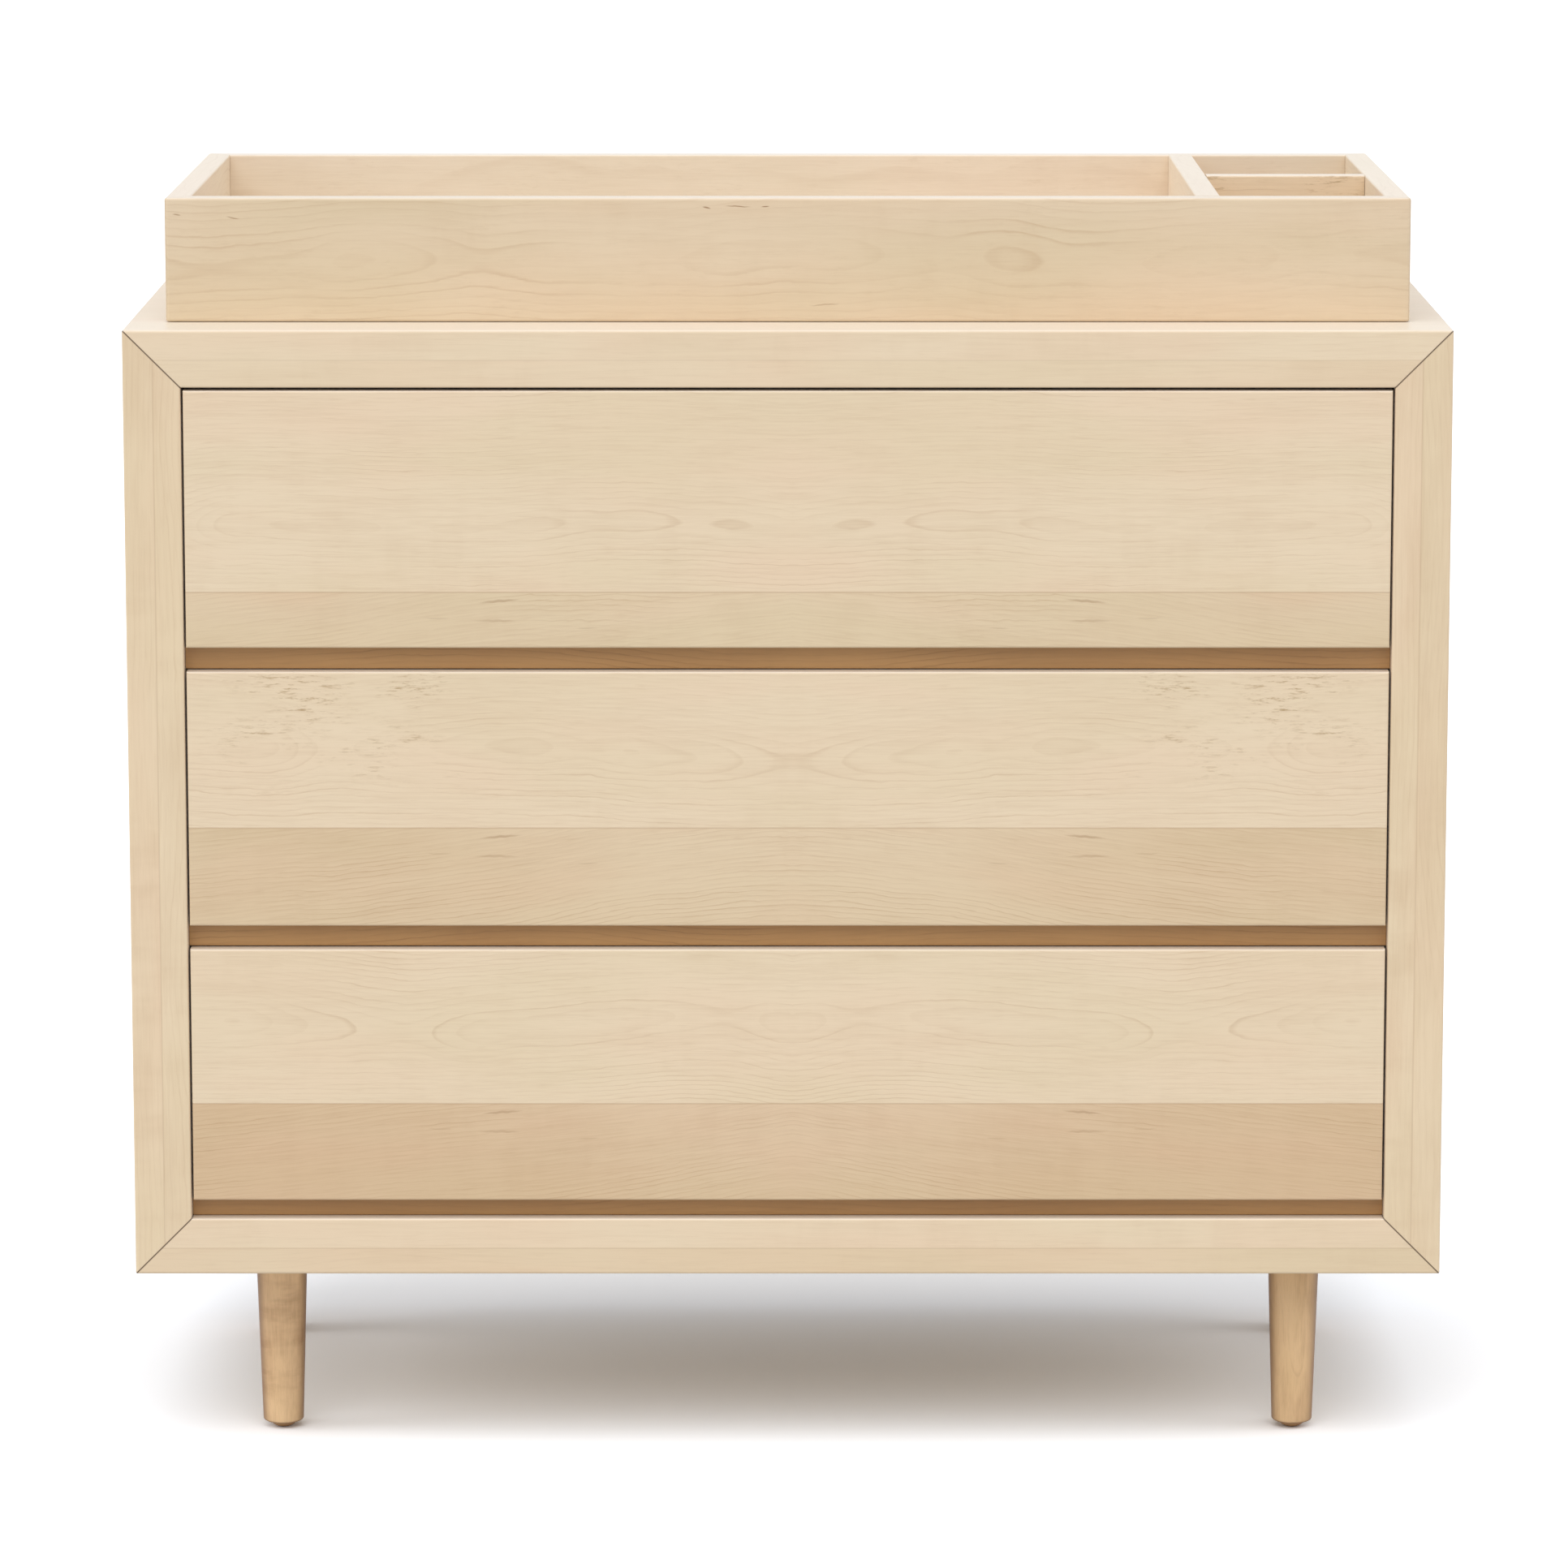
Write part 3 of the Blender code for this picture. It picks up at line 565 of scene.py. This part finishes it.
def makeGlides():
    for name in [n for n in nodes if n.endswith("_leg_glide")]:
        low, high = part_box(name)
        centre = (low + high) / 2
        reach = (high.x - low.x) / 2
        rise = high.z - low.z
        dome = []
        for i in range(11):
            part = i / 10
            radius = glide["flat"] + (reach - glide["flat"]) * part
            dome.append((radius, low.z + (rise - glide["rimHeight"]) * part ** 2))
        rim = [(reach, high.z - glide["lipFall"]), (reach - glide["lip"], high.z), (0, high.z)]
        profile = [(0, low.z)] + dome + rim
        piece = newPiece("domed_" + name, turned(profile, centre, glide["steps"]), "case", "glide_plastic",
                         glidePlastic)
        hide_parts(name)


makeLegs()
makeGlides()
print("legs and glides turned")

# Screws: pan heads with a cross recess, made once and copied to each place
screw = {"radius": 0.0036, "height": 0.0013, "steps": 28, "cross": 0.0040, "slot": 0.0009, "recess": 0.0007}


def screwHead():
    # a head that looks along +Z, standing on z = 0
    radius, height = screw["radius"], screw["height"]
    edge = [(radius * math.cos(math.radians(a)), 0.25 * height + 0.75 * height * math.sin(math.radians(a)))
            for a in range(0, 90, 15)]
    shape = turned([(0, 0), (radius, 0)] + edge + [(0, height)], (0, 0), screw["steps"])
    bmesh.ops.remove_doubles(shape, verts=shape.verts, dist=0.00001)
    bmesh.ops.recalc_face_normals(shape, faces=shape.faces)
    head = bpy.data.objects.new("screw head", bpy.data.meshes.new("screw head"))
    shape.to_mesh(head.data)
    scene.collection.objects.link(head)
    cutters = []
    for size in ((screw["cross"], screw["slot"]), (screw["slot"], screw["cross"])):
        bar = bmesh.new()
        bmesh.ops.create_cube(bar, size=1)
        bmesh.ops.scale(bar, verts=bar.verts, vec=(size[0], size[1], screw["recess"] * 2))
        bmesh.ops.translate(bar, verts=bar.verts, vec=(0, 0, height))
        cutter = bpy.data.objects.new("cross bar", bpy.data.meshes.new("cross bar"))
        bar.to_mesh(cutter.data)
        scene.collection.objects.link(cutter)
        cut = head.modifiers.new("cross", "BOOLEAN")
        cut.operation = "DIFFERENCE"
        cut.object = cutter
        cutters.append(cutter)
    bpy.context.view_layer.update()
    made = bpy.data.meshes.new_from_object(head.evaluated_get(bpy.context.evaluated_depsgraph_get()))
    for old in [head] + cutters:
        bpy.data.objects.remove(old)
    return made


panHead = screwHead()


def screwGroup(name, body, places, facing, size=1.0):
    # places: points on the face; facing: the direction that the heads look
    group = bmesh.new()
    turn = Vector((0, 0, 1)).rotation_difference(Vector(facing)).to_matrix().to_4x4()
    for number, place in enumerate(places):
        before = len(group.verts)
        group.from_mesh(panHead)
        group.verts.ensure_lookup_table()
        spin = Matrix.Rotation(0.7 * number + 0.3, 4, "Z")
        move = Matrix.Translation(place) @ turn @ spin @ Matrix.Scale(size, 4)
        bmesh.ops.transform(group, matrix=move, verts=group.verts[before:])
    return newPiece(name, group, body, "zinc_steel", zincSteel, smooth=35)


def screwSlides():
    for name in drawers:
        for side, way in (("left", -1), ("right", 1)):
            low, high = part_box(name + "_" + side + "_drawer_channel")
            web = (low.x if way > 0 else high.x) + way * 0.0012
            middle = (low.z + high.z) / 2
            places = [(web, low.y + reach, middle) for reach in (0.035, 0.20, 0.40)]
            screwGroup(name + "_" + side + "_slide_screws", name + "_drawer", places, (way, 0, 0))


def screwPlates():
    for side in ("left", "right"):
        low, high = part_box(side + "_tray_bracket")
        places = [((low.x + high.x) / 2, high.y, low.z + reach) for reach in (0.010, 0.022, 0.042, 0.054)]
        screwGroup(side + "_bracket_screws", "tray", places, (0, 1, 0), 1.15)
    low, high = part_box("anti_tip_bracket")
    places = [(x, high.y, (low.z + high.z) / 2) for x in (low.x + 0.012, high.x - 0.012)]
    screwGroup("anti_tip_screws", "case", places, (0, 1, 0), 1.3)


def screwBack():
    low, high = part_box("back_panel")
    places = []
    for i in range(5):
        x = low.x + 0.007 + (high.x - low.x - 0.014) * i / 4
        places += [(x, high.y, low.z + 0.007), (x, high.y, high.z - 0.007)]
    for i in (1, 2, 3):
        z = low.z + (high.z - low.z) * i / 4
        places += [(low.x + 0.007, high.y, z), (high.x - 0.007, high.y, z)]
    screwGroup("back_panel_screws", "case", places, (0, 1, 0), 1.1)


screwSlides()
screwPlates()
screwBack()
print("screws placed")

# Floor, world and light
light = {"sky": 0.59, "skyTint": (0.975, 1.0, 1.035, 1.0),
         "suns": {"key": ((-0.10, -0.66, 1.0), 1.71, 60.0), "left fill": ((-1.0, -0.10, 0.45), 0.60, 30.0),
                  "right fill": ((1.0, -0.10, 0.70), 0.42, 30.0)},
         "floor": (1.19, 1.21, 1.25, 1.0), "bounce": (0.62, 0.62, 0.62, 1.0)}


def setStage():
    ground = bmesh.new()
    bmesh.ops.create_grid(ground, x_segments=2, y_segments=2, size=60)
    data = bpy.data.meshes.new("floor")
    ground.to_mesh(data)
    ground.free()
    floor = bpy.data.objects.new("floor", data)
    material, tree, shader = newMaterial("pale floor")
    here = put(tree, "ShaderNodeTexCoord").outputs["Object"]
    seen = put(tree, "ShaderNodeLightPath").outputs["Is Camera Ray"]
    paint = blend(tree, seen, light["bounce"], light["floor"])
    worn = calc(tree, "MULTIPLY_ADD", noise(tree, here, scale=3), 0.01, 0.995)
    paint = blend(tree, 1.0, paint, joined(tree, worn, worn, worn), how="MULTIPLY")
    feed(tree, shader.inputs["Base Color"], paint)
    shader.inputs["Roughness"].default_value = 0.9
    shader.inputs["Specular IOR Level"].default_value = 0.1
    data.materials.append(material)
    scene.collection.objects.link(floor)


def setLight():
    world = bpy.data.worlds.new("studio")
    scene.world = world
    world.use_nodes = True
    tree = world.node_tree
    air = tree.nodes["Background"]
    rays = put(tree, "ShaderNodeLightPath").outputs
    seen = calc(tree, "MAXIMUM", rays["Is Camera Ray"], rays["Is Glossy Ray"])
    feed(tree, air.inputs["Strength"], spread(tree, seen, 0, 1, light["sky"], 1.0, smooth=False))
    feed(tree, air.inputs["Color"], blend(tree, seen, light["skyTint"], (1.0, 1.0, 1.0, 1.0)))
    for name, (source, energy, angle) in light["suns"].items():
        lamp = bpy.data.lights.new(name, "SUN")
        lamp.energy = energy
        lamp.angle = math.radians(angle)
        sun = bpy.data.objects.new(name, lamp)
        sun.rotation_euler = Vector(source).to_track_quat("Z", "Y").to_euler()
        scene.collection.objects.link(sun)
    scene.view_settings.view_transform = "Standard"


setStage()
setLight()
print("stage and light set")
